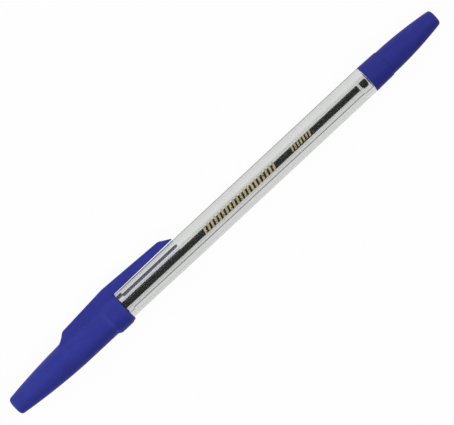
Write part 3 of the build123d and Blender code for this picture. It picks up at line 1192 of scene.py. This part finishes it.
turned_rings(brass, pitch=0.08 * mm, share=0.8)
flaked(foil_gold, size=0.35 * mm, bare_share=0.40)
put_on(ink_paste, ink, drop)
put_on(brass, point)
put_on(carbide, ball)
put_on(foil_gold, *foil_rows)
print("materials", len(bpy.data.materials))

# %% [markdown]
# ## Floor, light and background
#
# The pen lies on a plain white floor. The floor glows white to the camera, and in reflections and through
# the clear barrel, so the background is pure white at a plain light level. A small share of the floor
# stays ordinary white paint and keeps the pen's soft shadow. A round bar mirrors only what stands square
# to it, so the two soft lamps hang beyond the pen's ends: they light the blue plastic evenly and leave no
# glare along the clear barrel. Low down, the wall on the clip's side is white and the one across from it
# is dark, which draws the thin lines of the bore. The room above is dim.

# %% Lay the floor
floor_size = 6.0
glow_share = 0.95

bpy.ops.object.select_all(action="DESELECT")
bpy.ops.mesh.primitive_plane_add(size=floor_size, location=(0, 0, cad_low.z))
floor = bpy.context.object
floor.name = floor.data.name = "floor"

paper = bpy.data.materials.new("white_floor")
paper.use_nodes = True
tree = paper.node_tree
tree.nodes.clear()
path = add(tree, "ShaderNodeLightPath")
seen = add(tree, "ShaderNodeMath", operation="MAXIMUM")
seen_through = add(tree, "ShaderNodeMath", operation="MAXIMUM")
share = add(tree, "ShaderNodeMath", {1: glow_share}, operation="MULTIPLY")
paint = add(tree, "ShaderNodeBsdfDiffuse", {"Color": (0.97, 0.97, 0.97, 1)})
glow = add(tree, "ShaderNodeEmission", {"Color": (1, 1, 1, 1), "Strength": 1.0})
mixed = add(tree, "ShaderNodeMixShader")
surface = add(tree, "ShaderNodeOutputMaterial")
wire(
    tree,
    (path.outputs["Is Camera Ray"], seen.inputs[0]),
    (path.outputs["Is Glossy Ray"], seen.inputs[1]),
    (seen.outputs["Value"], seen_through.inputs[0]),
    (path.outputs["Is Transmission Ray"], seen_through.inputs[1]),
    (seen_through.outputs["Value"], share.inputs[0]),
    (share.outputs["Value"], mixed.inputs["Fac"]),
    (paint.outputs["BSDF"], mixed.inputs[1]),
    (glow.outputs["Emission"], mixed.inputs[2]),
    (mixed.outputs["Shader"], surface.inputs["Surface"]),
)
put_on(paper, floor)
print("floor at", round(cad_low.z / mm, 3), "mm")

# %% Paint the room
near_wall, far_wall = 1.2, 0.08
room_light = 0.15
wall_top, wall_fade = 0.12, 0.42
wall_turn = 0.5

world = bpy.data.worlds.new("studio")
bpy.context.scene.world = world
world.use_nodes = True
room = world.node_tree
room.nodes.clear()
direction = add(room, "ShaderNodeTexCoord")
parts = add(room, "ShaderNodeSeparateXYZ")
height = add(room, "ShaderNodeMapRange", {
    "From Min": wall_top, "From Max": wall_fade, "To Min": 1, "To Max": 0
}, interpolation_type="SMOOTHSTEP")
side = add(room, "ShaderNodeMapRange", {
    "From Min": -wall_turn, "From Max": wall_turn, "To Min": far_wall, "To Max": near_wall
}, interpolation_type="SMOOTHSTEP")
strength = add(room, "ShaderNodeMath", {2: room_light}, operation="MULTIPLY_ADD")
background = add(room, "ShaderNodeBackground", {"Color": (1, 1, 1, 1)})
room_out = add(room, "ShaderNodeOutputWorld")
wire(
    room,
    (direction.outputs["Generated"], parts.inputs["Vector"]),
    (parts.outputs["Z"], height.inputs["Value"]),
    (parts.outputs["Y"], side.inputs["Value"]),
    (height.outputs["Result"], strength.inputs[0]),
    (side.outputs["Result"], strength.inputs[1]),
    (strength.outputs["Value"], background.inputs["Strength"]),
    (background.outputs["Background"], room_out.inputs["Surface"]),
)
print("walls", far_wall, "to", near_wall, "room above", room_light)

# %% Hang a soft lamp beyond each end of the pen
lamp_size = 2.2
for name, place, power in (
    ("cap_end_lamp", Vector((-1.3, 0.35, 0.9)), 23.6),
    ("tail_end_lamp", Vector((1.3, 0.25, 0.9)), 21.6),
):
    lamp_data = bpy.data.lights.new(name, "AREA")
    lamp_data.size = lamp_size
    lamp_data.energy = power
    lamp = bpy.data.objects.new(name, lamp_data)
    bpy.context.scene.collection.objects.link(lamp)
    lamp.location = place
    lamp.rotation_euler = (-place).to_track_quat("-Z", "Y").to_euler()
    print(name, power, "watts")
